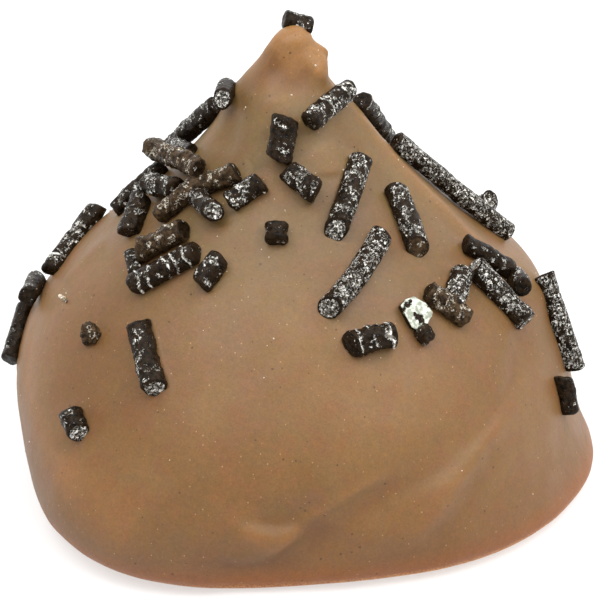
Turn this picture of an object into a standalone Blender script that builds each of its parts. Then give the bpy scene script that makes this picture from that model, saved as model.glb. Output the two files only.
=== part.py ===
"""A chocolate-coated marzipan kiss: one squat, peaked sweet with a flat underside.

Metres, +Z up. The origin is the middle of the underside, and -Y is the front. The coat is a
closed surface of rings. Each ring starts as a circle of the flank's profile, is carried along
by the leaning spine, and is then pushed in or out by the swells and folds of the set chocolate.
"""

import math

import bmesh
import bpy

MM = 0.001

# Overall sizes, in millimetres.
HEIGHT = 26.7
BASE_EDGE_RADIUS = 1.3
TIP_RADIUS = 1.0

# The flank's profile from the base edge up to the tip, as (radius, height).
FLANK = (
    (15.8, 1.3),
    (15.7, 2.8),
    (15.6, 4.4),
    (15.4, 6.2),
    (14.4, 8.8),
    (12.35, 11.8),
    (9.6, 15.0),
    (6.05, 18.2),
    (4.1, 20.8),
    (2.75, 23.0),
    (1.35, 24.9),
    (1.02, 25.7),
)

# How far the middle of a ring lies to the right (+X), as (height, offset).
SPINE = ((0.0, 0.0), (8.0, -1.35), (16.0, -0.85), (21.0, -1.4), (24.0, -1.6), (26.7, -1.0))

# Broad swells and hollows, as (angle in degrees, height, how far out, spread in degrees,
# spread in height). 0 degrees is the right side and 270 the front. The first eight shape the
# base, the next six the shoulders and the peak, and the last three the back.
SWELLS = (
    (270, 0.8, -0.8, 32, 3.0),
    (235, 1.5, 2.6, 30, 4.0),
    (305, 1.0, 0.3, 26, 3.0),
    (180, 5.0, 0.1, 45, 3.0),
    (0, 9.6, 0.45, 45, 3.0),
    (238, 0.0, -0.45, 40, 1.3),
    (300, 0.0, -0.35, 30, 1.1),
    (0, 0.2, 0.5, 32, 1.2),
    (5, 11.5, 0.75, 40, 1.6),
    (10, 15.5, -0.4, 45, 2.0),
    (180, 13.0, 0.5, 45, 4.0),
    (180, 16.5, 0.2, 45, 1.5),
    (0, 24.9, 1.55, 50, 0.75),
    (180, 25.4, 0.3, 60, 0.8),
    (72, 2.0, 0.7, 24, 4.0),
    (112, 6.5, -0.5, 20, 5.0),
    (95, 11.5, 0.6, 24, 3.0),
)

# Folds in the coat, as (points of (angle, height), how far out, width). The first is the
# crease above the skirt, the second the skirt's ridge, the third and fourth the lip of a
# drip and the crease over it, the fifth the drip's foot, and the sixth a rib down the right
# shoulder. The seventh and eighth are flutes in the neck, and the last two are on the back.
FOLDS = (
    (((-24, 10.0), (-42, 8.2), (-62, 6.6), (-82, 5.1), (-92, 4.8)), -0.34, 0.9),
    (((-36, 9.0), (-50, 7.3), (-58, 5.6), (-66, 3.9), (-76, 3.1)), 0.26, 1.0),
    (((-101, 4.6), (-95, 3.9), (-89, 4.5)), 0.30, 0.8),
    (((-102, 5.6), (-95, 5.0), (-88, 5.3)), -0.28, 0.7),
    (((-116, 3.1), (-103, 1.6), (-92, 2.1), (-82, 3.3)), -0.22, 1.0),
    (((4, 21.5), (-2, 18.0), (-5, 14.5), (-5, 11.5)), 0.30, 1.2),
    (((-165, 23.6), (-148, 21.5), (-143, 18.8)), -0.30, 1.1),
    (((-70, 24.9), (-95, 24.6), (-120, 24.6)), -0.16, 0.7),
    (((150, 9.5), (125, 7.2), (98, 5.6), (75, 4.6)), -0.32, 1.0),
    (((160, 18.5), (140, 15.0), (132, 11.0)), 0.30, 1.3),
)

# The grid of the surface.
RING_POINTS = 104
EDGE_STEPS = 4
FLANK_RINGS = 38
TIP_STEPS = 4

SWELL_FADE_RADIUS = 2.0
FOLD_FADE_RADIUS = 3.0
FOLD_REACH = 3.0

COAT_COLOUR = (0.36, 0.205, 0.115, 1.0)
COAT_ROUGHNESS = 0.4


def bell(distance, spread):
    """A smooth bump that is 1 at no distance and dies away over the spread."""
    return math.exp(-((distance / spread) ** 2))


def angle_between(first, second):
    """The signed angle from the second direction to the first, from -180 to 180 degrees."""
    return (first - second + 180.0) % 360.0 - 180.0


def through(points, knots, at):
    """The Catmull-Rom curve through the points, read at the knot value given."""
    last = len(points) - 1
    i = max(0, min(last - 1, sum(1 for knot in knots[1:-1] if knot <= at)))
    share = (at - knots[i]) / (knots[i + 1] - knots[i])

    def slope(j):
        low = max(0, j - 1)
        high = min(last, j + 1)
        span = knots[high] - knots[low]
        return [(b - a) / span for a, b in zip(points[low], points[high])]

    span = knots[i + 1] - knots[i]
    start_weight = 2 * share**3 - 3 * share**2 + 1
    start_slope_weight = (share**3 - 2 * share**2 + share) * span
    end_slope_weight = (share**3 - share**2) * span
    return [
        start_weight * a + (1 - start_weight) * b + start_slope_weight * u + end_slope_weight * v
        for a, b, u, v in zip(points[i], points[i + 1], slope(i), slope(i + 1))
    ]


def flank_curve():
    """Points evenly spaced along the flank, without its two ends."""
    knots = [0.0]
    for a, b in zip(FLANK, FLANK[1:]):
        knots.append(knots[-1] + math.dist(a, b))
    rings = [knots[-1] * i / FLANK_RINGS for i in range(1, FLANK_RINGS)]
    return [through(FLANK, knots, at) for at in rings]


def meridian():
    """The whole profile as (radius, height), from the underside's rim to just below the peak."""
    rim = FLANK[0][0] - BASE_EDGE_RADIUS
    points = []
    for i in range(EDGE_STEPS + 1):
        turn = 0.5 * math.pi * i / EDGE_STEPS
        radius = rim + BASE_EDGE_RADIUS * math.sin(turn)
        points.append((radius, BASE_EDGE_RADIUS * (1.0 - math.cos(turn))))
    points.extend(flank_curve())
    for i in range(TIP_STEPS):
        turn = 0.5 * math.pi * i / TIP_STEPS
        height = HEIGHT - TIP_RADIUS * (1.0 - math.sin(turn))
        points.append((TIP_RADIUS * math.cos(turn), height))
    return points


def spine_offset(height):
    heights = [knot for knot, _ in SPINE]
    offsets = [(offset,) for _, offset in SPINE]
    return through(offsets, heights, height)[0]


def swell(angle, radius, height):
    """How far the broad swells push the coat out here."""
    total = 0.0
    for middle, level, out, spread, height_spread in SWELLS:
        around = bell(angle_between(angle, middle), spread)
        total += out * around * bell(height - level, height_spread)
    return total * min(1.0, radius / SWELL_FADE_RADIUS)


def distance_to_path(path, angle, radius, height):
    """The distance over the surface to a fold's path, which is a chain of short straight runs."""
    arc = math.radians(1.0) * radius
    nearest = math.inf
    for (angle_a, height_a), (angle_b, height_b) in zip(path, path[1:]):
        run = (angle_between(angle_b, angle_a) * arc, height_b - height_a)
        here = (angle_between(angle, angle_a) * arc, height - height_a)
        along = (here[0] * run[0] + here[1] * run[1]) / (run[0] ** 2 + run[1] ** 2)
        along = min(1.0, max(0.0, along))
        nearest = min(nearest, math.hypot(here[0] - along * run[0], here[1] - along * run[1]))
    return nearest


def fold(angle, radius, height):
    """How far the folds push the coat out here."""
    total = 0.0
    for path, out, width in FOLDS:
        distance = distance_to_path(path, angle, radius, height)
        if distance < FOLD_REACH * width:
            total += out * bell(distance, width)
    lift = min(1.0, height / BASE_EDGE_RADIUS)
    return total * lift * min(1.0, radius / FOLD_FADE_RADIUS)


def coat_point(angle, radius, height):
    """A point of the coat, in millimetres."""
    out = radius + swell(angle, radius, height) + fold(angle, radius, height)
    turn = math.radians(angle)
    return (out * math.cos(turn) + spine_offset(height), out * math.sin(turn), height)


def centred(rings, peak):
    """The same points moved so that the middle of their box is over the origin."""
    points = [point for ring in rings for point in ring]
    middle = [0.5 * (min(p[i] for p in points) + max(p[i] for p in points)) for i in (0, 1)]

    def move(point):
        return (point[0] - middle[0], point[1] - middle[1], point[2])

    return [[move(point) for point in ring] for ring in rings], move(peak)


def coat_mesh():
    """The closed skin: rings joined by quads, a flat underside and a fan at the peak."""
    step = 360.0 / RING_POINTS
    rings = [
        [coat_point(step * i, radius, height) for i in range(RING_POINTS)]
        for radius, height in meridian()
    ]
    rings, peak = centred(rings, (spine_offset(HEIGHT), 0.0, HEIGHT))
    shape = bmesh.new()
    corners = [
        [shape.verts.new([MM * value for value in point]) for point in ring] for ring in rings
    ]
    for lower, upper in zip(corners, corners[1:]):
        for i in range(RING_POINTS):
            after = (i + 1) % RING_POINTS
            shape.faces.new((lower[i], lower[after], upper[after], upper[i]))
    top = shape.verts.new([MM * value for value in peak])
    for i in range(RING_POINTS):
        shape.faces.new((corners[-1][i], corners[-1][(i + 1) % RING_POINTS], top))
    shape.faces.new(reversed(corners[0]))
    mesh = bpy.data.meshes.new("coated_marzipan")
    shape.to_mesh(mesh)
    shape.free()
    mesh.shade_smooth()
    mesh.set_sharp_from_angle(angle=math.radians(60.0))
    return mesh


def coat_material():
    material = bpy.data.materials.new("milk_chocolate")
    material.use_nodes = True
    shader = material.node_tree.nodes["Principled BSDF"]
    shader.inputs["Base Color"].default_value = COAT_COLOUR
    shader.inputs["Roughness"].default_value = COAT_ROUGHNESS
    shader.inputs["Metallic"].default_value = 0.0
    return material


def main():
    for old in list(bpy.data.objects):
        bpy.data.objects.remove(old, do_unlink=True)
    body = bpy.data.objects.new("coated_marzipan", coat_mesh())
    body.data.materials.append(coat_material())
    bpy.context.scene.collection.objects.link(body)


main()
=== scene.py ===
import math
import random

import bmesh
import bpy
import numpy as np
from mathutils import Matrix, Vector, noise
from mathutils.bvhtree import BVHTree


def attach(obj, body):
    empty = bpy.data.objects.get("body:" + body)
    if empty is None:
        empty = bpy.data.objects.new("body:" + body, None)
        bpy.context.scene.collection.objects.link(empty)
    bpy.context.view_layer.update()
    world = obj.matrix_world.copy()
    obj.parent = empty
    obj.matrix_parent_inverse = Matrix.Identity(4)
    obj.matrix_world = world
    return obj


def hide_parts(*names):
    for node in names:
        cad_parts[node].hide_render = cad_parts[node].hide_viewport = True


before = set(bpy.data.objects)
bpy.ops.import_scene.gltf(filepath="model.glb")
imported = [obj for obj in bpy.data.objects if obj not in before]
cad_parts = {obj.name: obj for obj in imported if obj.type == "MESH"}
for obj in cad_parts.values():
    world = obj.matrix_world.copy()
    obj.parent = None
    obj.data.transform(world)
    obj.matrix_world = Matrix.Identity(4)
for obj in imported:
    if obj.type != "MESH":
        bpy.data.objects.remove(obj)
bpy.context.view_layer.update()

MM = 0.001

# The camera: 27 degrees up in front of the sweet, with a long lens.
PHOTO_PX = 600
PX_PER_MM = 17.85
CAMERA_DISTANCE = 250 * MM
CAMERA_ELEVATION = math.radians(27)
AIM = Vector((-0.34, 0.0, 10.05)) * MM
SENSOR_WIDTH = 36.0

# How the camera looks, as unit vectors, and where it is.
TOWARDS_CAMERA = Vector((0, -math.cos(CAMERA_ELEVATION), math.sin(CAMERA_ELEVATION)))
PHOTO_RIGHT = Vector((1, 0, 0))
PHOTO_UP = TOWARDS_CAMERA.cross(PHOTO_RIGHT)
EYE = AIM + CAMERA_DISTANCE * TOWARDS_CAMERA


def make_camera():
    data = bpy.data.cameras.new("camera")
    data.sensor_width = SENSOR_WIDTH
    data.lens = SENSOR_WIDTH * CAMERA_DISTANCE * PX_PER_MM / (PHOTO_PX * MM)
    data.clip_start = 1 * MM
    data.clip_end = 10.0
    camera = bpy.data.objects.new("camera", data)
    axes = Matrix((PHOTO_RIGHT, PHOTO_UP, TOWARDS_CAMERA)).transposed()
    camera.matrix_world = Matrix.Translation(EYE) @ axes.to_4x4()
    bpy.context.scene.collection.objects.link(camera)
    bpy.context.scene.camera = camera


def ray_through(pixel):
    """The direction from the eye through a pixel of the 600 by 600 frame."""
    across = (pixel[0] - 0.5 * PHOTO_PX) / PX_PER_MM * MM
    up = (0.5 * PHOTO_PX - pixel[1]) / PX_PER_MM * MM
    return (AIM + across * PHOTO_RIGHT + up * PHOTO_UP - EYE).normalized()


# ---------------- small helpers


def new_piece(name, mesh):
    piece = bpy.data.objects.new(name, mesh)
    bpy.context.scene.collection.objects.link(piece)
    return piece


class Tree:
    """A short way to write the nodes of a material or a world."""

    def __init__(self, owner, shader="Principled BSDF"):
        self.owner = owner
        self.owner.use_nodes = True
        self.nodes = owner.node_tree.nodes
        self.links = owner.node_tree.links
        self.shader = self.nodes[shader]

    def add(self, kind, inputs=None, **settings):
        node = self.nodes.new(kind)
        for key, value in settings.items():
            setattr(node, key, value)
        for key, value in (inputs or {}).items():
            self.set(node.inputs[key], value)
        return node

    def set(self, socket, value):
        if isinstance(value, bpy.types.NodeSocket):
            self.links.new(value, socket)
        else:
            socket.default_value = value

    def place(self):
        return self.add("ShaderNodeTexCoord").outputs["Object"]

    def noise(self, place, per_mm, detail=3.0, roughness=0.5, distortion=0.0):
        names = ("Vector", "Scale", "Detail", "Roughness", "Distortion")
        values = (place, per_mm / MM, detail, roughness, distortion)
        return self.add("ShaderNodeTexNoise", dict(zip(names, values))).outputs["Fac"]

    def voronoi(self, place, per_mm):
        return self.add("ShaderNodeTexVoronoi", {"Vector": place, "Scale": per_mm / MM})

    def ramp(self, value, low, high, to_low=0.0, to_high=1.0, smooth=True):
        kind = "SMOOTHSTEP" if smooth else "LINEAR"
        inputs = {0: value, 1: low, 2: high, 3: to_low, 4: to_high}
        node = self.add("ShaderNodeMapRange", inputs, interpolation_type=kind)
        return node.outputs[0]

    def part(self, place, ends, to_low=0.0, to_high=1.0):
        """Goes smoothly from one value to the other between two places in millimetres."""
        low, high = ends
        return self.ramp(place, low * MM, high * MM, to_low, to_high)

    def math(self, operation, first, second=0.0):
        return self.add("ShaderNodeMath", {0: first, 1: second}, operation=operation).outputs[0]

    def times(self, first, second):
        return self.math("MULTIPLY", first, second)

    def plus(self, first, second):
        return self.math("ADD", first, second)

    def mix(self, share, first, second, blend="MIX"):
        node = self.add("ShaderNodeMix", data_type="RGBA", blend_type=blend)
        self.set(node.inputs[0], share)
        self.set(node.inputs[6], first)
        self.set(node.inputs[7], second)
        return node.outputs[2]

    def tint(self, colour, where, share, other):
        """Mixes this share of another colour into a colour, as far as "where" is 1."""
        return self.mix(self.times(where, share), colour, other)

    def attribute(self, name):
        return self.add("ShaderNodeAttribute", attribute_name=name).outputs["Fac"]

    def bump(self, height, distance_mm, strength=1.0):
        inputs = {"Strength": strength, "Distance": distance_mm * MM, "Height": height}
        return self.add("ShaderNodeBump", inputs).outputs["Normal"]

    def finish(self, inputs):
        """Fills the shader's inputs and gives the material or world."""
        for key, value in inputs.items():
            self.set(self.shader.inputs[key], value)
        return self.owner


def srgb(red, green, blue):
    """A colour given as 0 to 255 screen values, in the linear values that shaders take."""
    linear = []
    for value in (red, green, blue):
        share = value / 255
        linear.append(share / 12.92 if share <= 0.04045 else ((share + 0.055) / 1.055) ** 2.4)
    return (*linear, 1.0)


def clamp(value):
    return min(1.0, max(0.0, value))


NOISE_SHIFT = 50


def random_shift(luck):
    """Gives each body its own place in the noise."""
    return Vector([luck.uniform(-NOISE_SHIFT, NOISE_SHIFT) for _ in range(3)])


# ---------------- the coat

COAT_SUBDIVISIONS = 2
# Points of the CAD mesh that are closer than this count as one, or as on the floor.
TOUCHING = 0.001 * MM


def smooth_copy(node):
    """A copy of a CAD node's mesh, welded, turned back to quads and subdivided."""
    shape = bmesh.new()
    shape.from_mesh(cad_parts[node].data)
    bmesh.ops.remove_doubles(shape, verts=shape.verts, dist=TOUCHING)
    floor = [face for face in shape.faces if max(v.co.z for v in face.verts) < TOUCHING]
    bmesh.ops.dissolve_faces(shape, faces=floor)
    sides = [face for face in shape.faces if len(face.verts) == 3]
    angle = math.radians(60)
    bmesh.ops.join_triangles(
        shape, faces=sides, angle_face_threshold=angle, angle_shape_threshold=angle
    )
    mesh = bpy.data.meshes.new("coat")
    shape.to_mesh(mesh)
    shape.free()
    rough = bpy.data.objects.new("coat_source", mesh)
    bpy.context.scene.collection.objects.link(rough)
    smoother = rough.modifiers.new("smooth", "SUBSURF")
    smoother.levels = COAT_SUBDIVISIONS
    smoother.render_levels = COAT_SUBDIVISIONS
    graph = bpy.context.evaluated_depsgraph_get()
    fine = bpy.data.meshes.new_from_object(rough.evaluated_get(graph))
    bpy.data.objects.remove(rough)
    return fine


def read(mesh, key):
    """The places ("co") or the normals ("normal") of a mesh's points."""
    values = np.empty(len(mesh.vertices) * 3)
    mesh.vertices.foreach_get(key, values)
    return values.reshape(-1, 3)


# Folds of the coat: the pixels that each runs through, how far it stands out and its half width
# in millimetres, and how much paler the coat is painted there, as painted light, with values
# below 0 painting shade. Where the coat also lies further out on the left hand of the path, the
# last two say how much and how far that reaches. Where a fold doesn't stand out, it only paints
# light and shade on the coat.
FOLDS = (
    # The crease from the right shoulder, the broad ridge beside it and that one's far side, with
    # painted shade in the crease and beyond the ridge and painted light on the ridge.
    (((520, 362), (508, 392), (494, 416), (478, 438), (462, 452)), -0.12, 0.45, -0.08, 0.1, 1.8),
    (((474, 444), (454, 462), (430, 476), (402, 486), (372, 494)), -0.05, 0.5, -0.11),
    (((512, 392), (494, 424), (478, 448), (463, 470), (450, 492), (438, 512), (420, 530),
      (394, 546)), 0.2, 0.75, 0.1, -0.04, 2.4),
    (((500, 440), (484, 466), (470, 492), (452, 520), (424, 544)), -0.1, 0.8, -0.06),
    # The thin ridge that runs up from the lip, and the hollow under it, with painted light on the
    # ridge and painted shade in the hollow.
    (((388, 472), (364, 485), (342, 498), (322, 510), (304, 522)), 0.12, 0.34, 0.09),
    (((392, 500), (366, 508), (344, 520), (324, 538), (306, 556)), -0.16, 0.8, -0.12),
    # The pit and its lip, with painted shade in the pit and painted light on the lip.
    (((254, 520), (268, 524), (284, 524), (304, 518)), -0.13, 0.42, -0.17),
    (((238, 528), (254, 539), (272, 545), (288, 542), (304, 531)), 0.13, 0.62, 0.15),
    # The drip below the lip stands proud of the skirt, which has painted shade round it.
    (((322, 514), (308, 532), (294, 547), (278, 560), (258, 567), (238, 568), (208, 560)),
     -0.1, 0.4, -0.16, -0.34, 1.8),
    (((334, 522), (318, 540), (304, 555), (288, 566), (262, 573)), 0.0, 0.6, -0.12),
    (((236, 573), (214, 568), (190, 556)), 0.0, 0.8, -0.1),
    # Painted shade on the skirt a little way in from its left edge.
    (((92, 296), (84, 350), (84, 400), (100, 440)), 0.0, 2.6, -0.1),
    # The neck: a broad flute down its left side, a soft rib in front and the cap's edge, with painted
    # shade in the flute and under the cap and painted light on the rib and on patches below.
    (((268, 50), (258, 72), (246, 96), (232, 126), (218, 156)), -0.12, 1.1, -0.04),
    (((272, 44), (264, 60), (257, 78), (252, 92)), 0.0, 0.85, -0.17),
    (((278, 96), (281, 116), (277, 140)), 0.12, 0.8, 0.05),
    (((266, 62), (278, 77), (291, 84), (304, 80), (316, 68)), -0.08, 0.6, -0.24),
    (((270, 54), (290, 62), (310, 62)), 0.0, 0.8, -0.07),
    (((258, 170), (278, 186), (300, 164)), 0.0, 1.4, 0.13),
    (((216, 118), (208, 134), (202, 146)), 0.0, 0.8, 0.16),
    (((318, 146), (326, 160), (330, 176)), 0.1, 1.1, 0.08),
    (((312, 28), (319, 37), (324, 46), (327, 55)), 0.22, 0.45, 0.0),
    (((332, 55), (331, 66), (331, 78)), -0.14, 0.38, 0.0),
    (((314, 70), (324, 78), (334, 88)), 0.08, 0.6, 0.1),
    # Painted light along the left edge and the lower left, where the edge catches the light.
    (((34, 300), (27, 340), (30, 390), (40, 430), (56, 462), (84, 492)), 0.0, 1.0, 0.14),
    (((56, 452), (78, 484), (106, 510), (140, 532)), 0.0, 1.5, 0.12),
    # Broad painted shade and painted light on the skirt.
    (((114, 388), (150, 416), (196, 430)), 0.0, 2.4, -0.06),
    (((204, 488), (252, 492), (304, 484)), 0.0, 1.6, 0.06),
    # The shoulder's rib on the right with painted light on it, the flute inside it, painted shade
    # below them, and a swell on the left.
    (((343, 99), (369, 129), (401, 168), (440, 206), (476, 242), (518, 274)), 0.18, 0.65, 0.14),
    (((330, 116), (350, 142), (378, 176), (406, 206), (430, 232)), -0.16, 0.75, -0.08),
    (((322, 188), (352, 214), (388, 236), (410, 262)), 0.0, 1.3, -0.14),
    (((322, 258), (332, 280), (336, 304)), 0.0, 1.0, -0.08),
    (((108, 238), (86, 258), (64, 286)), 0.12, 0.8, 0.0),
)
# How many points a fold's path gets, and over which share of it each of its ends fades.
FOLD_POINTS = 48
FOLD_TAPER = 0.16

# Waves all over the coat, as (waves in a millimetre, height in millimetres).
WAVES = ((0.22, 0.10), (0.55, 0.030), (1.4, 0.008))
# Relief grows from none at the floor to all of it at this height in millimetres.
RELIEF_RISE = 0.6


def smooth_path(points, count):
    """Points evenly spread along the Catmull-Rom curve through the points given."""
    knots = [points[0], *points, points[-1]]
    path = []
    for i in range(count):
        place = (len(points) - 1) * i / (count - 1)
        j = min(int(place), len(points) - 2)
        t = place - j
        a, b, c, d = knots[j : j + 4]
        bow = (2 * a - 5 * b + 4 * c - d) * t**2 + (3 * b - a - 3 * c + d) * t**3
        path.append(0.5 * (2 * b + (c - a) * t + bow))
    return path


def fold_relief(points, normals, surface, fold):
    """How far one fold pushes each point out, and how much paler or darker it paints it, as painted
    light and shade.
    """
    pixels, out, half_width, painted_shading, *side = fold
    hits = [surface.along_ray(pixel, 0.0) for pixel in pixels]
    path = np.array(smooth_path([Vector(hit) for hit in hits], FOLD_POINTS))
    runs = path[1:] - path[:-1]
    near = np.full(len(points), np.inf)
    share = np.zeros(len(points))
    signed = np.zeros(len(points))
    for i, run in enumerate(runs):
        here = points - path[i]
        along = np.clip(here @ run / (run @ run), 0.0, 1.0)
        away = here - along[:, None] * run
        distance = np.linalg.norm(away, axis=1)
        closer = distance < near
        near[closer] = distance[closer]
        share[closer] = ((i + along) / len(runs))[closer]
        above = np.einsum("ij,ij->i", np.cross(run, normals), away)
        signed[closer] = (np.sign(above) * distance)[closer]
    ends = np.clip(np.minimum(share, 1.0 - share) / FOLD_TAPER, 0.0, 1.0)
    ends = ends * ends * (3.0 - 2.0 * ends)
    profile = np.exp(-((near / (half_width * MM)) ** 2))
    height = out * profile
    if side:
        step, reach = side
        left = 0.5 - 0.5 * np.tanh(signed / (half_width * MM))
        height = height + step * left * np.exp(-((signed / (reach * MM)) ** 2))
    return height * ends * MM, painted_shading * profile * ends


def wave_relief(points):
    relief = np.zeros(len(points))
    for per_mm, height in WAVES:
        values = [noise.noise(Vector(point) * (per_mm / MM)) for point in points]
        relief += np.array(values) * height * MM
    return relief


def push_out(mesh, distances):
    """Moves each point of a mesh along its normal, but leaves the flat underside."""
    points = read(mesh, "co")
    lift = np.clip(points[:, 2] / (RELIEF_RISE * MM), 0.0, 1.0)
    points = points + read(mesh, "normal") * (distances * lift)[:, None]
    mesh.vertices.foreach_set("co", points.ravel())
    mesh.update()


def fold_coat(mesh):
    surface = Surface(mesh)
    points = read(mesh, "co")
    normals = read(mesh, "normal")
    relief = wave_relief(points)
    painted_shading_sum = np.zeros(len(points))
    for fold in FOLDS:
        height, painted_shading = fold_relief(points, normals, surface, fold)
        relief += height
        painted_shading_sum += painted_shading
    # The folds' painted light and shade, which the coat's material reads.
    mesh.attributes.new("painted_shading", "FLOAT", "POINT").data.foreach_set("value", painted_shading_sum)
    push_out(mesh, relief)


# How high the coat climbs round a strand, and how far that reaches, in millimetres.
COLLAR_HEIGHT = 0.04
COLLAR_WIDTH = 0.20


def raise_collars(mesh, axes):
    """The coat climbs a little round every strand that lies in it."""
    points = read(mesh, "co")
    relief = np.zeros(len(points))
    for start, end, radius in axes:
        start = np.array(start)
        run = np.array(end) - start
        here = points - start
        along = np.clip(here @ run / (run @ run), 0.0, 1.0)
        gap = np.linalg.norm(here - along[:, None] * run, axis=1) - radius
        gap = np.maximum(gap, 0.0) / (COLLAR_WIDTH * MM)
        relief = np.maximum(relief, COLLAR_HEIGHT * MM * np.exp(-(gap**2)))
    push_out(mesh, relief)


# The coat's colours: two ground tones, the patches in them, the parts from the peak down (painted
# glow at the peak, the foot, painted glow along the hem and a painted highlight on the rim), the
# painted bounce light of the folds, and the specks and pinholes.
BEIGE = srgb(115, 82, 44)
PALE_BEIGE = srgb(123, 89, 50)
PINKISH = srgb(122, 81, 48)
OLIVE = srgb(114, 87, 47)
PEAK_GLOW_COLOUR = srgb(146, 103, 58)
FOOT_LEFT = srgb(113, 81, 55)
FOOT_RIGHT = srgb(114, 74, 36)
HEM_GLOW_COLOUR = srgb(142, 79, 26)
RIM_HIGHLIGHT_COLOUR = srgb(250, 182, 110)
FOLD_BOUNCE_COLOUR = srgb(128, 82, 42)
SPECK_COLOUR = srgb(200, 164, 124)
PIT_COLOUR = srgb(66, 40, 20)

# What the colour is multiplied by in the upper part, as painted shade and sheen: darker, greyer and
# bluer.
UPPER_PAINTED_SHEEN = (0.87, 1.02, 1.17, 1.0)
# And by what it drifts at random from patch to patch, and, as painted sheen, from the middle to the
# sides.
YELLOWER = (1.01, 1.0, 0.90, 1.0)
BLUER = (0.99, 1.0, 1.10, 1.0)
MIDDLE_TINT = (1.0, 1.0, 0.955, 1.0)
SIDE_PAINTED_SHEEN = (0.995, 1.0, 1.03, 1.0)

# Where each part begins and where it is complete, as heights in millimetres.
UPPER_SHEEN_PART = (11.0, 18.5)
PEAK_GLOW_PART = (22.6, 25.2)
FOOT_PART = (6.0, 0.8)
HEM_GLOW_PART = (2.3, 0.6)
RIM_HIGHLIGHT_PART = (0.9, 0.25)
# The same across the sweet: the right part of the foot and of the rim's painted highlight, and the
# sides, where the painted sheen grows.
FOOT_RIGHTWARDS = (-10.0, 3.0)
RIM_HIGHLIGHT_RIGHTWARDS = (-2.0, 9.0)
SHEEN_SIDES = (2.0, 12.0)


def coat_material():
    tree = Tree(bpy.data.materials.new("milk_chocolate"))
    place = tree.place()
    across, _, height = tree.add("ShaderNodeSeparateXYZ", {0: place}).outputs
    patchy = tree.noise(place, 0.45, 4.0, 0.6, 0.4)
    fine = tree.noise(place, 3.2, 4.0, 0.65)
    grain = tree.noise(place, 9.0, 2.0, 0.6)

    # The ground colour wanders at random between beige, olive and pink. Painted shade and sheen make
    # it greyer in the upper part. It takes the foot's colour low down, painted glow makes it warm at
    # the peak and along the hem, and it ends in a thin painted highlight along the rim.
    broad = tree.ramp(tree.noise(place, 0.11, 2.0), 0.40, 0.60)
    colour = tree.mix(broad, BEIGE, PALE_BEIGE)
    blush = tree.ramp(tree.noise(place, 0.80, 3.0, 0.55), 0.46, 0.62)
    colour = tree.tint(colour, blush, 0.55, PINKISH)
    olive = tree.ramp(patchy, 0.52, 0.68)
    colour = tree.tint(colour, olive, 0.50, OLIVE)
    # Painted shade and sheen: darker, greyer and bluer in the upper part.
    colour = tree.mix(tree.part(height, UPPER_SHEEN_PART), colour, UPPER_PAINTED_SHEEN, "MULTIPLY")
    # The peak's paler orange is painted glow, standing in for light shining through the thin tip.
    colour = tree.tint(colour, tree.part(height, PEAK_GLOW_PART), 0.8, PEAK_GLOW_COLOUR)
    foot_colour = tree.mix(tree.part(across, FOOT_RIGHTWARDS), FOOT_LEFT, FOOT_RIGHT)
    colour = tree.tint(colour, tree.part(height, FOOT_PART), 0.6, foot_colour)
    # A warm orange band along the hem: painted glow, standing in for floor light through the thin
    # lower edge.
    colour = tree.tint(colour, tree.part(height, HEM_GLOW_PART), 0.75, HEM_GLOW_COLOUR)
    # The thin bright rim is a painted highlight, standing in for floor light at the lower edge.
    rim_highlight = tree.part(height, RIM_HIGHLIGHT_PART)
    rim_highlight = tree.times(rim_highlight, tree.part(across, RIM_HIGHLIGHT_RIGHTWARDS, 0.45, 1.0))
    rim_highlight = tree.times(rim_highlight, tree.ramp(grain, 0.42, 0.56))
    colour = tree.tint(colour, rim_highlight, 0.75, RIM_HIGHLIGHT_COLOUR)

    # It is bluer towards the sides as painted sheen, drifts at random from patch to patch, and is
    # warmer in the folds as painted bounce light.
    aside = tree.part(tree.math("ABSOLUTE", across), SHEEN_SIDES)
    colour = tree.mix(1.0, colour, tree.mix(aside, MIDDLE_TINT, SIDE_PAINTED_SHEEN), "MULTIPLY")
    mottle = tree.ramp(fine, 0.3, 0.7, 0.92, 1.08, smooth=False)
    speckle = tree.ramp(grain, 0.25, 0.75, 0.86, 1.14, smooth=False)
    drift = tree.ramp(tree.noise(place, 1.9, 3.0), 0.35, 0.65)
    colour = tree.mix(1.0, colour, tree.mix(drift, YELLOWER, BLUER), "MULTIPLY")
    # The folds' painted light and shade make the colour paler and darker, and warmer with painted
    # bounce light.
    painted_shading = tree.attribute("painted_shading")
    painted_bounce = tree.times(tree.math("ABSOLUTE", painted_shading), 1.9)
    colour = tree.mix(painted_bounce, colour, FOLD_BOUNCE_COLOUR)
    shade = tree.times(mottle, speckle)
    shade = tree.times(shade, tree.plus(painted_shading, 1.0))
    grey = tree.add("ShaderNodeCombineColor", {0: shade, 1: shade, 2: shade}).outputs[0]
    colour = tree.mix(1.0, colour, grey, "MULTIPLY")

    # Cream specks and dark pinholes, each in some of the cells of a random pattern.
    specks = speckles(tree, place, 2.9, 0, 0.30, 0.13)
    colour = tree.tint(colour, specks, 0.40, SPECK_COLOUR)
    pits = speckles(tree, place, 1.9, 1, 0.50, 0.15)
    colour = tree.tint(colour, pits, 0.65, PIT_COLOUR)

    relief = tree.plus(tree.times(fine, 0.6), tree.times(grain, 0.35))
    relief = tree.plus(relief, tree.times(specks, 0.35))
    relief = tree.math("SUBTRACT", relief, tree.times(pits, 0.5))
    return tree.finish({
        "Base Color": colour,
        "Roughness": tree.ramp(patchy, 0.3, 0.7, 0.46, 0.56),
        "Normal": tree.bump(relief, 0.035, 0.55),
        "Subsurface Weight": 0.30,
        "Subsurface Radius": (1.0, 0.42, 0.18),
        "Subsurface Scale": 0.8 * MM,
        "Specular IOR Level": 0.4,
    })


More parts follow.
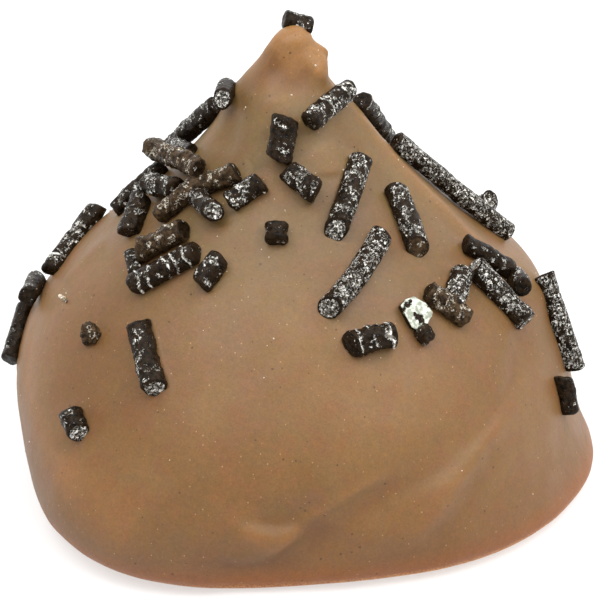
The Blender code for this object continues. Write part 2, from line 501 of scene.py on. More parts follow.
def speckles(tree, place, per_mm, channel, rarity, size):
    """Dots in some of the cells of a random pattern, of every size up to the one given."""
    cells = tree.voronoi(place, per_mm)
    chance = tree.add("ShaderNodeSeparateColor", {0: cells.outputs["Color"]}).outputs[channel]
    reach = tree.ramp(chance, rarity, 1.0, 0.0, size, smooth=False)
    return tree.math("LESS_THAN", cells.outputs["Distance"], reach)


def make_coat():
    mesh = smooth_copy("coated_marzipan")
    mesh.name = "coat"
    fold_coat(mesh)
    mesh.shade_smooth()
    mesh.materials.clear()
    mesh.materials.append(coat_material())
    coat = new_piece("coat", mesh)
    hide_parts("coated_marzipan")
    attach(coat, "root")
    return coat


# ---------------- strands of chocolate

FROSTED = "frosted"
DARK = "dark"
BROWN = "brown"

# How high the middles of a strand's ends stand over the coat where nothing else is said, and
# the least for the stretch between them, in radii.
LIFT = 0.72
LEAST_LIFT = 0.45

# Where the strands of the front lie: the pixels of both ends, the width in pixels, the kind, how
# much bloom and painted glint it has, and what else is to say:
#   lift    how high the middle of each end stands over the coat, in radii
#   behind  the coat's edge hides part of the strand
#   lean    the strand lies across others, as lay_strand says
#   push    how much further back it lies, in millimetres
#   cap     the kind whose colour and bloom its end faces have
#   ridges, waist, cut and bow    its shape, as strand_body says
STRANDS = (
    ((284, 19), (311, 27), 20, DARK, 0.45, {"behind": True}),
    ((227, 87), (222, 99), 20, DARK, 0.45, {"lift": (0.4, 1.9), "cap": FROSTED}),
    ((216, 106), (168, 152), 20, DARK, 0.55, {"behind": True}),
    ((192, 152), (174, 144), 15, DARK, 0.45, {"lift": (0.6, 0.9)}),
    ((151, 148), (199, 169), 21, BROWN, 0.42, {"lift": (1.0, 1.5), "lean": 0.55}),
    ((163, 166), (114, 211), 18, DARK, 0.35, {"cap": FROSTED}),
    ((148, 183), (177, 188), 22, DARK, 0.5, {"lift": (1.3, 1.0)}),
    ((141, 198), (128, 233), 22, DARK, 0.35, {}),
    ((199, 182), (157, 216), 19, BROWN, 0.42, {"lift": (1.0, 1.0)}),
    ((237, 172), (203, 186), 20, BROWN, 0.4, {}),
    ((229, 202), (262, 181), 22, DARK, 0.6, {}),
    ((196, 196), (213, 211), 21, DARK, 0.45, {"lift": (0.7, 1.9), "cap": FROSTED, "cut": 0.4}),
    ((138, 252), (184, 229), 22, BROWN, 0.42, {"lift": (0.9, 1.0)}),
    ((133, 285), (196, 252), 23, DARK, 0.15, {"ridges": 5}),
    ((131, 252), (135, 273), 14, DARK, 0.5, {}),
    ((200, 285), (220, 258), 22, DARK, 0.35, {}),
    ((277, 223), (276, 242), 23, DARK, 0.25, {"waist": 0.12}),
    ((98, 206), (49, 271), 19, DARK, 0.55, {"ridges": 2}),
    ((37, 279), (27, 297), 20, DARK, 0.5, {"lift": (0.4, 1.4)}),
    ((27, 303), (10, 360), 20, DARK, 0.25, {"behind": True}),
    ((286, 117), (279, 160), 26, DARK, 0.2, {}),
    ((287, 169), (317, 194), 24, DARK, 0.45, {}),
    ((309, 123), (349, 90), 23, DARK, 0.4, {"ridges": 5}),
    ((362, 100), (389, 141), 19, DARK, 0.5, {"behind": True}),
    ((396, 140), (509, 233), 20, FROSTED, 1.0, {}),
    ((466, 221), (491, 200), 20, DARK, 0.8,
     {"behind": True, "lift": (0.5, 0.0), "push": 0.9, "cap": FROSTED}),
    ((361, 158), (336, 230), 24, FROSTED, 0.5, {"cap": FROSTED, "cut": 0.7}),
    ((396, 190), (418, 248), 23, FROSTED, 0.55, {"cap": BROWN, "cut": 0.6}),
    ((382, 234), (329, 308), 24, FROSTED, 0.68, {"cap": FROSTED, "cut": 0.6, "bow": -0.20}),
    ((465, 243), (512, 271), 19, DARK, 0.3, {}),
    ((474, 266), (527, 322), 24, FROSTED, 0.68, {"cap": FROSTED, "cut": 0.4}),
    ((513, 276), (523, 288), 20, DARK, 0.5, {"lift": (0.3, 1.8)}),
    ((464, 270), (452, 306), 22, FROSTED, 0.68, {}),
    ((428, 290), (467, 319), 21, BROWN, 0.45, {}),
    ((543, 275), (574, 368), 22, FROSTED, 0.9, {}),
    ((562, 377), (570, 413), 19, DARK, 0.1, {}),
    ((350, 345), (394, 334), 25, DARK, 0.1, {"ridges": 3}),
    ((138, 322), (155, 389), 24, DARK, 0.25, {"cap": FROSTED, "cut": 0.3}),
    ((70, 411), (79, 433), 23, DARK, 0.25, {"cap": FROSTED, "cut": 0.4}),
)

# The make of a strand, in millimetres.
RING_STEP = 0.085
STRAND_SIDES = 30
# Rings of an end face, as (share of the radius, share of the edge's rounding).
END_RINGS = ((0.25, 0.0), (0.5, 0.0), (0.72, 0.0), (0.89, 0.12), (0.97, 0.5))
# How round an edge may be on a short strand, as a share of the length.
EDGE_MOST = 0.2
# How far a strand's middle may swing, as a share of the length, and how oval its section is.
BEND_MOST = 0.022
OVALS = (0.02, 0.07)
# The slant of the ends: its most, less on a short strand, and how far along it reaches.
SLANT_MOST = 0.45
SLANT_BY_LENGTH = 0.12
SLANT_REACH = 1.2
# How much of the length a waist takes.
WAIST_WIDTH = 0.16
# The lumps of a strand, as (lumps in a millimetre, share of the radius).
LUMPS = ((1.0, 0.12), (2.5, 0.10), (5.5, 0.08))
# The chips of its end faces, in the same way.
CHIPS = (2.4, 0.16)
# The ridges round it: how far they slant, as a share of the radius, how they wander, as lumps
# do, and how whole they are, from 0 to 1, with breaks as (breaks in a millimetre, depth).
RIDGE_HEIGHT = 0.045
RIDGE_WIDTH = 0.065
RIDGE_SLANT = 0.35
RIDGE_WANDER = (1.3, 0.5)
RIDGE_WHOLE = 0.90
RIDGE_BREAKS = (1.7, 1.4)
# The flank has all its frost where it faces up by this cosine, and the least, as painted shade on its
# underside, at the second one.
LIT_AND_SHADED_COSINES = (0.5, -0.4)
# The parts of a strand: its flank, the edge round its end, from this share of its radius, and
# its end face.
EDGE_BEGINS = 0.8
FLANK = "flank"
EDGE = "edge"
FACE = "face"


class Toppings:
    """Many small bodies joined in one mesh, with how frosted and how brown each point is."""

    def __init__(self):
        self.points = []
        self.faces = []
        self.frost = []
        self.brown = []

    def add(self, points, faces, frost, brown):
        first = len(self.points)
        self.points.extend(points)
        self.faces.extend([first + i for i in face] for face in faces)
        self.frost.extend(frost)
        self.brown.extend(brown)

    def piece(self, name, material):
        mesh = bpy.data.meshes.new(name)
        mesh.from_pydata(self.points, [], self.faces)
        for key, values in (("frost", self.frost), ("brown", self.brown)):
            attribute = mesh.attributes.new(key, "FLOAT", "POINT")
            attribute.data.foreach_set("value", values)
        mesh.shade_smooth()
        mesh.materials.append(material)
        piece = new_piece(name, mesh)
        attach(piece, "root")
        return piece


# How far before and behind the sweet's distance a ray looks for the coat, in how many steps at
# most, how close is close enough, and which share of the gap one step takes.
RAY_REACH = 30 * MM
RAY_STEPS = 160
RAY_PRECISION = 0.01 * MM
RAY_STEP_SHARE = 0.6
# Points on a ball's outline, in radii across and up, and how far from them their rays start.
BALL_OUTLINE = ((-1, 0), (1, 0), (0, -1), (0, 1), (-0.7, 0.7), (0.7, 0.7))
RAY_START = 0.05 * MM
# A distance from the axis that is outside the sweet.
OUTSIDE = 40 * MM


class Surface:
    """The coat as something to lay toppings on."""

    def __init__(self, mesh):
        self.tree = BVHTree.FromPolygons(
            [v.co for v in mesh.vertices], [p.vertices for p in mesh.polygons]
        )

    def gap(self, point):
        """How far a point is outside the coat, and the coat's normal beneath it."""
        hit, normal, _, distance = self.tree.find_nearest(point)
        inside = (point - hit).dot(normal) < 0
        return (-distance if inside else distance), normal

    def set_down(self, point, height):
        """The point moved to stand this high over the coat."""
        hit, normal, _, _ = self.tree.find_nearest(point)
        return hit + height * normal

    def from_outside(self, turn, height):
        """Where a level line from outside meets the coat, and the coat's normal there."""
        way = Vector((math.sin(turn), math.cos(turn), 0))
        return self.tree.ray_cast(way * OUTSIDE + Vector((0, 0, height)), -way)[:2]

    def hides(self, point, margin):
        """Whether the coat hides a ball of this radius round a point from the camera."""
        for across, up in BALL_OUTLINE:
            edge = point + margin * (across * PHOTO_RIGHT + up * PHOTO_UP)
            to_eye = (EYE - edge).normalized()
            if self.tree.ray_cast(edge + RAY_START * to_eye, to_eye)[0] is None:
                return False
        return True

    def along_ray(self, pixel, height, behind=False):
        """The point on a pixel's ray that stands this high over the coat, on its near or far side."""
        direction = ray_through(pixel)
        sense = -1 if behind else 1
        travel = CAMERA_DISTANCE - sense * RAY_REACH
        nearest = math.inf
        best = travel
        for _ in range(RAY_STEPS):
            gap = self.gap(EYE + travel * direction)[0] - height
            if gap < nearest:
                nearest = gap
                best = travel
            if gap < RAY_PRECISION:
                break
            travel += sense * max(RAY_STEP_SHARE * gap, RAY_PRECISION)
            if abs(travel - CAMERA_DISTANCE) > RAY_REACH:
                break
        return EYE + best * direction


# A strand is raised in a few rounds until it clears the coat at the points between its parts.
RAISING_ROUNDS = 6
SPAN_PARTS = 8


def lay_strand(surface, pixels, radius, lift, behind, lean=None, push=0.0):
    """The two ends of a strand that lies on the coat along the pixels given.

    A leaning strand lies across others: only its second end rests on the coat, and its first
    end is this share of the way back from that one's distance to the coat's. One that others
    hide is pushed this many millimetres further back.
    """
    if lean is not None:
        ends = [surface.along_ray(p, share * radius, behind) for p, share in zip(pixels, lift)]
        back, depth = [(end - EYE).length for end in ends]
        return [EYE + (depth + lean * (back - depth)) * ray_through(pixels[0]), ends[1]]
    raised = 0.0
    for _ in range(RAISING_ROUNDS):
        heights = [share * radius + raised for share in lift]
        ends = [surface.along_ray(p, h, behind) for p, h in zip(pixels, heights)]
        shortfall = 0.0
        for i in range(1, SPAN_PARTS):
            middle = ends[0].lerp(ends[1], i / SPAN_PARTS)
            shortfall = max(shortfall, LEAST_LIFT * radius - surface.gap(middle)[0])
        if shortfall < RAY_PRECISION:
            break
        raised += shortfall
    return [end - push * MM * TOWARDS_CAMERA for end in ends]


def tube_faces(first, around, rings):
    """The faces between rings of points that follow one another."""
    faces = []
    for ring in range(rings - 1):
        low = first + ring * around
        high = low + around
        for i in range(around):
            after = (i + 1) % around
            faces.append((low + i, low + after, high + after, high + i))
    return faces


def fan_faces(low, around, centre):
    """The faces between one ring of points and a point in its middle."""
    return [(low + i, low + (i + 1) % around, centre) for i in range(around)]


def lumpiness(spot, lumps=LUMPS):
    return sum(share * noise.noise(spot * per_mm) for per_mm, share in lumps)


def strand_body(ends, radius, up, luck, blunt, lumpy, ridges=0, waist=0.0, cut=0.0, bow=0.0):
    """One strand, a lumpy rod with broken ends.

    "up" is the way that its fully frosted, lit side faces, "ridges" is how many run round it,
    "waist" is how much thinner its middle is, "cut" turns its far end's face to the camera, and
    "bow" is how many millimetres its middle swings to the right hand. Gives its points, its
    faces, and for each point its part of the strand, how far it is up a ridge and how much
    painted shade it gets on the side away from "up".
    """
    start, end = ends
    axis = end - start
    length = axis.length
    along = axis.normalized()
    side = along.orthogonal().normalized()
    other = along.cross(side)
    bend = luck.uniform(-BEND_MOST, BEND_MOST) * length
    bend_turn = luck.uniform(0, math.tau)
    bend_way = math.cos(bend_turn) * side + math.sin(bend_turn) * other
    if bow:
        bend = bow * MM
        bend_way = along.cross(TOWARDS_CAMERA).normalized()
    oval = luck.uniform(*OVALS)
    oval_turn = luck.uniform(0, math.tau)
    steepest = min(SLANT_MOST, SLANT_BY_LENGTH * length / radius)
    slants = [luck.uniform(-steepest, steepest), luck.uniform(-steepest, steepest)]
    slant_turns = [luck.uniform(0, math.tau), luck.uniform(0, math.tau)]
    if cut:
        slants[1] = -cut
        slant_turns[1] = math.atan2(TOWARDS_CAMERA.dot(other), TOWARDS_CAMERA.dot(side))
    shift = random_shift(luck)
    crests = [(i + luck.uniform(0.25, 0.75)) / max(ridges, 1) * length for i in range(ridges)]
    crest_turn = luck.uniform(0, math.tau)
    edge = min(blunt * MM, EDGE_MOST * length)
    stations = [(edge * share_in, share) for share, share_in in END_RINGS]
    middle_rings = max(3, round((length - 2 * edge) / (RING_STEP * MM)))
    for i in range(middle_rings + 1):
        stations.append((edge + (length - 2 * edge) * i / middle_rings, 1.0))
    stations.extend((length - edge * share_in, share) for share, share_in in reversed(END_RINGS))

    def crest(distance, turn, spot):
        """How far up a ridge a point is, from 0 to 1."""
        slant = RIDGE_SLANT * math.cos(turn - crest_turn)
        wander = (slant + lumpiness(spot, (RIDGE_WANDER,))) * radius
        nearest = min((abs(distance + wander - at) for at in crests), default=math.inf)
        whole = clamp(RIDGE_WHOLE + lumpiness(spot, (RIDGE_BREAKS,)))
        return whole * math.exp(-((nearest / (RIDGE_WIDTH * MM)) ** 2))

    def place(distance, share, turn):
        arm = radius * share * (1 + oval * math.cos(2 * (turn - oval_turn)))
        for at, slant, slant_turn in zip((0.0, length), slants, slant_turns):
            near = max(0.0, 1.0 - abs(distance - at) / (SLANT_REACH * MM))
            distance += slant * arm * math.cos(turn - slant_turn) * near**2
        s = clamp(distance / length)
        arm *= 1 - waist * math.exp(-(((s - 0.5) / WAIST_WIDTH) ** 2))
        middle = start + distance * along + 4 * s * (1 - s) * bend * bend_way
        outward = math.cos(turn) * side + math.sin(turn) * other
        spot = (middle + outward * arm) / MM + shift
        ridge = crest(distance, turn, spot) if share == 1.0 else 0.0
        bare, shaded_cosine = LIT_AND_SHADED_COSINES
        painted_underside_shade = clamp((bare - outward.dot(up)) / (bare - shaded_cosine))
        chipped = (1 - share**6) * radius * lumpiness(spot, (CHIPS,))
        swollen = arm * (1 + lumpy * lumpiness(spot)) + ridge * RIDGE_HEIGHT * MM
        part = FLANK if share == 1.0 else EDGE if share > EDGE_BEGINS else FACE
        return middle + outward * swollen + along * chipped, (part, ridge, painted_underside_shade)

    turns = [math.tau * i / STRAND_SIDES for i in range(STRAND_SIDES)]
    placed = [place(distance, share, turn) for distance, share in stations for turn in turns]
    last_ring = len(placed) - STRAND_SIDES
    faces = tube_faces(0, STRAND_SIDES, len(stations))
    for distance, low, order in ((0.0, 0, -1), (length, last_ring, 1)):
        fan = fan_faces(low, STRAND_SIDES, len(placed))
        faces.extend(face[::order] for face in fan)
        placed.append(place(distance, 0.0, 0.0))
    points, marks = zip(*placed)
    return points, faces, marks


# How brown each kind is, how round its edges are in millimetres, and how lumpy it is.
LOOKS = {FROSTED: (0.1, 0.09, 0.6), DARK: (0.1, 0.18, 1.0), BROWN: (0.9, 0.30, 1.8)}
# How frosted a ridge's crest, the end faces of each kind and the edge round them are, and how
# much less frost a flank has on its underside, as painted shade.
CREST_FROST = 2.2
FACE_FROST = {FROSTED: 1.15, DARK: 0.1, BROWN: 0.4}
EDGE_FROST = -0.5
PAINTED_SHADE_FROST_LOSS = 0.45


def add_strand(toppings, ends, radius, up, kind, frost, luck, cap=DARK, **shape):
    """Makes a strand and puts it with the others of its kind."""
    brown, blunt, lumpy = LOOKS[kind]
    points, faces, marks = strand_body(ends, radius, up, luck, blunt, lumpy, **shape)

    def frost_at(part, ridge, painted_underside_shade):
        if part == FACE:
            return FACE_FROST[cap]
        # Less frost on the underside of the flank is painted shade.
        bare = frost - PAINTED_SHADE_FROST_LOSS * painted_underside_shade
        return EDGE_FROST if part == EDGE else bare + (CREST_FROST - bare) * ridge

    frosts = [frost_at(*mark) for mark in marks]
    browns = [LOOKS[cap][0] if mark[0] == FACE else brown for mark in marks]
    toppings[kind].add(points, faces, frosts, browns)


FRONT_SEED = 41


def lay_strands(surface, toppings):
    """The strands that show from the front."""
    luck = random.Random(FRONT_SEED)
    axes = []
    for start, end, width, kind, frost, how in STRANDS:
        how = dict(how)
        radius = 0.5 * width / PX_PER_MM * MM
        lift = how.pop("lift", (LIFT, LIFT))
        laying = {key: how.pop(key) for key in ("lean", "push") if key in how}
        behind = how.pop("behind", False)
        ends = lay_strand(surface, (start, end), radius, lift, behind, **laying)
        up = surface.gap(ends[0].lerp(ends[1], 0.5))[1]
        add_strand(toppings, ends, radius, up, kind, frost, luck, **how)
        axes.append((ends[0], ends[1], radius))
    return axes


# The strands on the side that the photograph's view doesn't reach: in how many places one is
# tried, their heights, lengths, widths and least gap in millimetres, their kinds with how
# frosted they are, and how many ridges they may have.
BACK_SEED = 7
BACK_TRIES = 4000
BACK_HEIGHTS = (9.5, 24.0)
BACK_LENGTHS = (1.2, 5.2)
BACK_WIDTHS = (1.05, 1.42)
BACK_GAP = 0.25
BACK_KINDS = ((FROSTED, 0.5), (FROSTED, 0.7), (DARK, 0.15), (DARK, 0.35), (DARK, 0.5),
              (BROWN, 0.25))
BACK_RIDGES = (0, 0, 2, 4)
# The coat hides a ball of this many radii round a point this share of half a strand past its end.
HIDDEN_RADII = 1.5
HIDDEN_PAST = 0.15


def rod_gap(first, second):
    """The room between two rods, each given by its two ends and its radius."""
    nearest = math.inf
    run = second[1] - second[0]
    for i in range(SPAN_PARTS + 1):
        point = first[0].lerp(first[1], i / SPAN_PARTS)
        along = clamp((point - second[0]).dot(run) / run.length_squared)
        nearest = min(nearest, (point - second[0] - along * run).length)
    return nearest - first[2] - second[2]


def scatter_back_strands(surface, toppings, axes):
    """Strands strewn over the far side, none of which shows past the coat's outline."""
    luck = random.Random(BACK_SEED)
    for _ in range(BACK_TRIES):
        turn = luck.uniform(0, math.tau)
        height = luck.uniform(*BACK_HEIGHTS) * MM
        length = luck.uniform(*BACK_LENGTHS) * MM
        radius = 0.5 * luck.uniform(*BACK_WIDTHS) * MM
        tilt = luck.uniform(0, math.pi)
        kind, frost = luck.choice(BACK_KINDS)
        spot, normal = surface.from_outside(turn, height)
        if spot is None:
            continue
        flat = normal.cross(Vector((0, 0, 1))).normalized()
        run = math.cos(tilt) * flat + math.sin(tilt) * normal.cross(flat)
        ends = [surface.set_down(spot + s * 0.5 * length * run, LIFT * radius) for s in (-1, 1)]
        middle = ends[0].lerp(ends[1], 0.5)
        shortfall = LEAST_LIFT * radius - surface.gap(middle)[0]
        if shortfall > 0:
            ends = [end + shortfall * normal for end in ends]
        rod = (*ends, radius)
        tips = [end.lerp(middle, -HIDDEN_PAST) for end in ends]
        if not all(surface.hides(tip, HIDDEN_RADII * radius) for tip in tips):
            continue
        if any(rod_gap(rod, other) < BACK_GAP * MM for other in axes):
            continue
        axes.append(rod)
        ridges = luck.choice(BACK_RIDGES)
        add_strand(toppings, ends, radius, normal, kind, frost, luck, ridges=ridges)


# The chocolate of the strands, each from its darkest to its palest tone, and the thin veil, the
# bloom with painted glints among it, and the gold on it.
BLACK_TONES = (srgb(8, 5, 2), srgb(38, 27, 16))
BROWN_TONES = (srgb(24, 17, 10), srgb(80, 62, 42))
VEIL_COLOUR = srgb(64, 60, 52)
BLOOM_AND_GLINT_COLOURS = (srgb(112, 110, 104), srgb(255, 254, 248))
GOLD = srgb(192, 166, 122)


def strand_material(name, fleck_colours=BLOOM_AND_GLINT_COLOURS):
    """Dark chocolate with flecks of bloom and painted glints whose colour goes from dull to bright.
    """
    tree = Tree(bpy.data.materials.new(name))
    place = tree.place()
    frost = tree.attribute("frost")
    brown = tree.attribute("brown")
    shade = tree.ramp(tree.noise(place, 3.6, 4.0, 0.7), 0.32, 0.68)
    base = tree.mix(brown, tree.mix(shade, *BLACK_TONES), tree.mix(shade, *BROWN_TONES))

    # Pale flecks, partly bloom and partly painted glints: crooked strokes in a fine net inside
    # patches. Frost over 1 also fills the space between them.
    spread = tree.plus(tree.noise(place, 1.9, 2.0), tree.times(frost, 0.35))
    patches = tree.ramp(spread, 0.58, 0.72)
    net = tree.noise(place, 7.0, 5.0, 0.75, 0.5)
    winding = tree.math("SUBTRACT", tree.noise(place, 4.2, 3.0, 0.6, 0.8), 0.5)
    strokes = tree.ramp(tree.math("ABSOLUTE", winding), 0.0, 0.055, 0.09, -0.045)
    level = tree.plus(net, tree.ramp(patches, 0.0, 1.0, -0.18, 0.0))
    level = tree.plus(level, strokes)
    level = tree.plus(level, tree.ramp(frost, 1.0, 3.0, 0.0, 0.40, smooth=False))
    veil = tree.times(patches, tree.ramp(level, 0.38, 0.50))
    colour = tree.tint(base, veil, 0.30, VEIL_COLOUR)
    bloom_and_glint_mask = tree.ramp(level, 0.512, 0.562)
    shine = tree.ramp(tree.noise(place, 4.5, 2.0), 0.38, 0.60)
    colour = tree.mix(bloom_and_glint_mask, colour, tree.tint(tree.mix(shine, *fleck_colours), brown, 0.5, GOLD))
    grit = tree.noise(place, 9.0, 3.0, 0.6)
    height = tree.plus(tree.times(bloom_and_glint_mask, 0.5), tree.times(grit, 0.7))
    return tree.finish({
        "Base Color": colour,
        "Roughness": tree.ramp(bloom_and_glint_mask, 0.0, 1.0, 0.24, 0.80),
        "Specular IOR Level": 0.08,
        "Normal": tree.bump(height, 0.06),
    })


def make_strands(surface):
    toppings = {kind: Toppings() for kind in (FROSTED, DARK, BROWN)}
    axes = lay_strands(surface, toppings)
    scatter_back_strands(surface, toppings, axes)
    for kind, group in toppings.items():
        group.piece(kind + "_strands", strand_material(kind + "_chocolate"))
    return axes


# ---------------- the flake and the crumbs

# The outline of the pale flake, in pixels, and its make in millimetres. It is tilted from the
# coat towards the camera by this share.
FLAKE_SEED = 3
FLAKE_TILT = 0.35
FLAKE = ((401, 305), (406, 299), (414, 296), (426, 303), (433, 312), (432, 316), (427, 325),
         (421, 332), (412, 327), (403, 310))
FLAKE_MIDDLE = (417, 313)
FLAKE_LIFT = 0.62
FLAKE_DEPTH = 0.80
FLAKE_EDGE_PARTS = 5
# Rings from the middle of the top to the foot of the wall, as (share of the outline, depth).
FLAKE_RINGS = (*[(0.12 * i, 0.0) for i in range(1, 8)], (0.94, 0.0), (0.99, 0.03), (1.0, 0.10),
               (0.98, 0.3), (0.95, 0.55), (0.9, 0.8))
# Rings less deep than this belong to its face.
FLAKE_FACE_DEPTH = 0.05
# Its roughness, as (lumps in a millimetre, height in millimetres).
FLAKE_LUMPS = ((2.5, 0.05), (7.0, 0.03))
FLAKE_FROST = 2.6
FLAKE_WALL_FROST = 0.2
FLAKE_BROWN = 0.1
FLAKE_BLOOM = (srgb(150, 156, 142), srgb(214, 220, 207))
# Dark stains in its pale face, as (middle, radius) in pixels.
FLAKE_STAINS = (((410, 302), 1.6), ((407, 305), 1.8), ((404, 309), 1.6), ((419, 317), 2.6),
                ((422, 321), 2.2), ((415, 314), 1.5), ((408, 322), 1.4), ((428, 306), 1.0))
# How ragged the stains are, as (lumps in a millimetre, share of the radius).
STAIN_LUMPS = (6.0, 0.6)

# Lumps of dark chocolate as (middle, width in pixels, how frosted, how brown).
NUGGETS = (
    ((90, 334), 20, 0.15, 0.9),
    ((424, 334), 21, 0.1, 0.2),
    ((63, 298), 6, 1.7, 1.0),
    ((60, 296), 4, 2.4, 1.0),
    ((66, 301), 4, 0.6, 1.0),
)
NUGGET_LUMPS = ((1.4, 0.30), (3.5, 0.22), (8.0, 0.14))
NUGGET_LIFT = 0.55
NUGGET_DETAIL = 5
# How much narrower or wider a lump may be each way.
STRETCHES = (0.8, 1.15)

# Crumbs of broken strands and grains of sugar, in millimetres: some beside each strand, up to
# this share of its length past its ends, and some anywhere.
CRUMB_SEED = 19
CRUMBS_BY_STRANDS = 3
CRUMB_PAST_ENDS = 0.1
CRUMB_SPREAD = (0.05, 0.8)
LOOSE_CRUMBS = 110
CRUMB_HEIGHTS = (2.0, 25.5)
CRUMB_RADII = (0.018, 0.048)
CRUMB_LUMPS = ((6.0, 0.6), (14.0, 0.4))
CRUMB_LIFT = 0.3
CRUMB_DETAIL = 2
# How frosted and how brown a grain of sugar and a crumb are, and the share of sugar.
SUGAR = (3.0, 0.9)
CRUMB = (0.3, 0.7)
SUGAR_SHARE = 0.85


def ball(detail):
    """The corners and faces of a ball of radius 1."""
    shape = bmesh.new()
    bmesh.ops.create_icosphere(shape, subdivisions=detail, radius=1.0)
    corners = [corner.co.copy() for corner in shape.verts]
    faces = [[corner.index for corner in face.verts] for face in shape.faces]
    shape.free()
    return corners, faces


def add_lump(group, centre, radius, luck, shape, lumps, frost, brown):
    """An uneven lump made from a ball."""
    corners, faces = shape
    shift = random_shift(luck)
    stretch = [luck.uniform(*STRETCHES) for _ in range(3)]
    points = []
    for corner in corners:
        arm = Vector([a * b for a, b in zip(corner, stretch)]) * radius
        points.append(centre + arm * (1 + lumpiness(arm / MM + shift, lumps)))
    group.add(points, faces, [frost] * len(points), [brown] * len(points))


def make_crumbs(surface, axes):
    luck = random.Random(CRUMB_SEED)
    group = Toppings()
    fine = ball(NUGGET_DETAIL)
    for pixel, width, frost, brown in NUGGETS:
        radius = 0.5 * width / PX_PER_MM * MM
        centre = surface.along_ray(pixel, NUGGET_LIFT * radius)
        add_lump(group, centre, radius, luck, fine, NUGGET_LUMPS, frost, brown)
    coarse = ball(CRUMB_DETAIL)
    spots = []
    for start, end, radius in axes:
        for _ in range(CRUMBS_BY_STRANDS):
            along = start.lerp(end, luck.uniform(-CRUMB_PAST_ENDS, 1 + CRUMB_PAST_ENDS))
            aside = Vector([luck.gauss(0, 1) for _ in range(3)]).normalized()
            reach = radius + luck.uniform(*CRUMB_SPREAD) * MM
            spots.append(along + reach * aside)
    for _ in range(LOOSE_CRUMBS):
        turn = luck.uniform(0, math.tau)
        height = luck.uniform(*CRUMB_HEIGHTS) * MM
        spot = surface.from_outside(turn, height)[0]
        if spot is not None:
            spots.append(spot)
    for spot in spots:
        radius = luck.uniform(*CRUMB_RADII) * MM
        frost, brown = SUGAR if luck.random() < SUGAR_SHARE else CRUMB
        centre = surface.set_down(spot, CRUMB_LIFT * radius)
        add_lump(group, centre, radius, luck, coarse, CRUMB_LUMPS, frost, brown)
    group.piece("crumbs", strand_material("crumbs"))


def make_flake(surface):
    """A broken-off flake that lies with its pale face up."""
    luck = random.Random(FLAKE_SEED)
    middle = surface.along_ray(FLAKE_MIDDLE, FLAKE_LIFT * MM)
    up = surface.gap(middle)[1].lerp(TOWARDS_CAMERA, FLAKE_TILT).normalized()

    def on_face(pixel):
        """The point of the flake's face at a pixel."""
        way = ray_through(pixel)
        travel = (middle - EYE).dot(up) / way.dot(up)
        return EYE + travel * way

    outline = []
    for i, corner in enumerate(FLAKE):
        after = FLAKE[(i + 1) % len(FLAKE)]
        for part in range(FLAKE_EDGE_PARTS):
            share = part / FLAKE_EDGE_PARTS
            outline.append(on_face([a + share * (b - a) for a, b in zip(corner, after)]))
    shift = random_shift(luck)

    def roughness(point, lumps):
        return sum(size * noise.noise(point / MM * per_mm + shift) for per_mm, size in lumps)

    def clearance(point, pixel, radius):
        """How far a point of the face is outside a stain, in the stain's radii."""
        away = (point - on_face(pixel)).length / (radius / PX_PER_MM * MM)
        return away - 1.0 + roughness(point, (STAIN_LUMPS,))

    points = [middle]
    frosts = [FLAKE_FROST]
    for share, depth in FLAKE_RINGS:
        for corner in outline:
            point = middle.lerp(corner, share) - depth * MM * up
            in_face = depth < FLAKE_FACE_DEPTH
            outward = up if in_face else (corner - middle).normalized() * share
            points.append(point + roughness(point, FLAKE_LUMPS) * MM * outward)
            clean = clamp(min(clearance(point, *stain) for stain in FLAKE_STAINS))
            frosts.append(FLAKE_FROST * clean if in_face else FLAKE_WALL_FROST)
    count = len(outline)
    foot = len(points)
    points.append(middle - FLAKE_DEPTH * MM * up)
    frosts.append(FLAKE_WALL_FROST)
    faces = [face[::-1] for face in fan_faces(1, count, 0)]
    faces.extend(tube_faces(1, count, len(FLAKE_RINGS)))
    faces.extend(fan_faces(foot - count, count, foot))
    group = Toppings()
    group.add(points, faces, frosts, [FLAKE_BROWN] * len(points))
    flake = group.piece("pale_flake", strand_material("pale_flake", FLAKE_BLOOM))
    fix_faces(flake.data)


def fix_faces(mesh):
    """Turns all the faces of a closed mesh outwards."""
    shape = bmesh.new()
    shape.from_mesh(mesh)
    bmesh.ops.recalc_face_normals(shape, faces=shape.faces)
    shape.to_mesh(mesh)
    shape.free()


# ---------------- the room

# Half the floor's side in metres, the light that it gives off, and its grey.
FLOOR_HALF = 1.5
FLOOR_GLOW = 0.60
FLOOR_ALBEDO = 0.36
# The room's brightness in front of and behind the sweet, and where along Y it changes.
ROOM_FRONT = 0.1
ROOM_BACK = 2.0
ROOM_TURNS = (-0.2, 1.0)

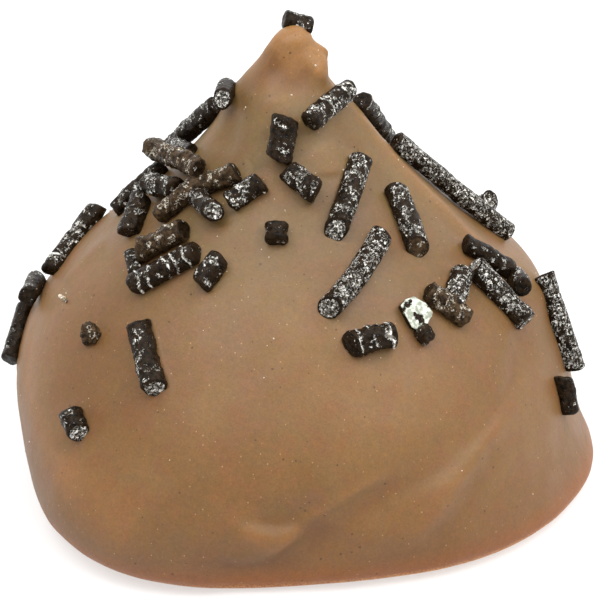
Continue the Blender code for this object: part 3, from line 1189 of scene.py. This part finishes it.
# The lamps: azimuth and elevation in degrees, distance and size in metres, and power in watts.
LAMPS = {
    "left_lamp": (-46, 58, 0.45, 0.36, 1.90),
    "right_lamp": (60, 55, 0.45, 0.36, 1.95),
    "front_lamp": (0, 30, 0.45, 0.36, 0.20),
    "side_lamp": (80, 25, 0.45, 0.36, 0.30),
}


def make_floor():
    mesh = bpy.data.meshes.new("floor")
    sides = ((-1, -1), (1, -1), (1, 1), (-1, 1))
    corners = [(x * FLOOR_HALF, y * FLOOR_HALF, 0) for x, y in sides]
    mesh.from_pydata(corners, [], [(0, 1, 2, 3)])
    floor = new_piece("floor", mesh)
    grey = (*[FLOOR_ALBEDO] * 3, 1)
    glow = {"Emission Color": (1, 1, 1, 1), "Emission Strength": FLOOR_GLOW}
    tree = Tree(bpy.data.materials.new("pale_floor"))
    mesh.materials.append(tree.finish({"Base Color": grey, "Roughness": 0.8, **glow}))


def make_lamp(name, azimuth, elevation, distance, size, watts):
    """A square soft lamp that faces the sweet. Azimuth 0 is behind the camera."""
    data = bpy.data.lights.new(name, "AREA")
    data.shape = "SQUARE"
    data.size = size
    data.energy = watts
    lamp = bpy.data.objects.new(name, data)
    turn = math.radians(azimuth)
    rise = math.radians(elevation)
    flat = math.cos(rise)
    direction = Vector((math.sin(turn) * flat, -math.cos(turn) * flat, math.sin(rise)))
    lamp.location = AIM + distance * direction
    lamp.rotation_euler = direction.to_track_quat("Z", "Y").to_euler()
    bpy.context.scene.collection.objects.link(lamp)


def make_light():
    """A pale room, dimmer on the camera's side, and large soft lamps."""
    tree = Tree(bpy.data.worlds.new("studio"), "Background")
    way = tree.add("ShaderNodeTexCoord").outputs["Generated"]
    backwards = tree.add("ShaderNodeSeparateXYZ", {0: way}).outputs["Y"]
    strength = tree.ramp(backwards, *ROOM_TURNS, ROOM_FRONT, ROOM_BACK, smooth=False)
    bpy.context.scene.world = tree.finish({"Color": (1, 1, 1, 1), "Strength": strength})
    for name, setting in LAMPS.items():
        make_lamp(name, *setting)
    bpy.context.scene.view_settings.view_transform = "Standard"


make_camera()
coat = make_coat()
surface = Surface(coat.data)
axes = make_strands(surface)
raise_collars(coat.data, axes)
make_flake(surface)
make_crumbs(surface, axes)
make_floor()
make_light()
